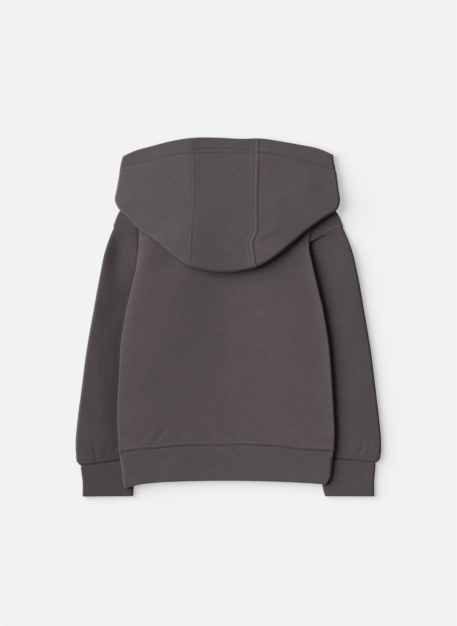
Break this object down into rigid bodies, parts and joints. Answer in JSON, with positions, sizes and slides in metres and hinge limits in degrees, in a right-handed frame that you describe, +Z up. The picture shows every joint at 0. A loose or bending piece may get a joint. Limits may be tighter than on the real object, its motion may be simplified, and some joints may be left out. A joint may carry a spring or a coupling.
{
  "type": "toddler hoodie",
  "caption": "Toddler's plain pullover hoodie in matte dark fleece, laid flat back side up: hood spread over the back, sleeves swung down beside the body, ribbed cuffs and waistband.",
  "frame": {"origin": "middle of the laid-out garment's footprint, on the surface it lies on", "axes": "+Y towards the hood, +X towards the wearer's right arm, +Z up out of the surface, so the wearer's back faces +Z"},
  "size_m": [0.4274, 0.5019, 0.0241],
  "materials": {
    "body_fleece": "matte brushed-back fleece, dark warm grey",
    "sleeve_fleece": "matte brushed-back fleece, dark warm grey",
    "hood_fleece": "matte brushed-back fleece, dark warm grey",
    "rib_knit": "matte smooth rib knit, dark warm grey"
  },
  "bodies": {
    "root": {"back_panel": "body_fleece", "front_panel": "body_fleece", "sleeve_left": "sleeve_fleece", "sleeve_right": "sleeve_fleece", "cuff_left": "rib_knit", "cuff_right": "rib_knit", "waistband": "rib_knit", "hood_left": "hood_fleece", "hood_centre": "hood_fleece", "hood_right": "hood_fleece"}
  },
  "joints": []
}
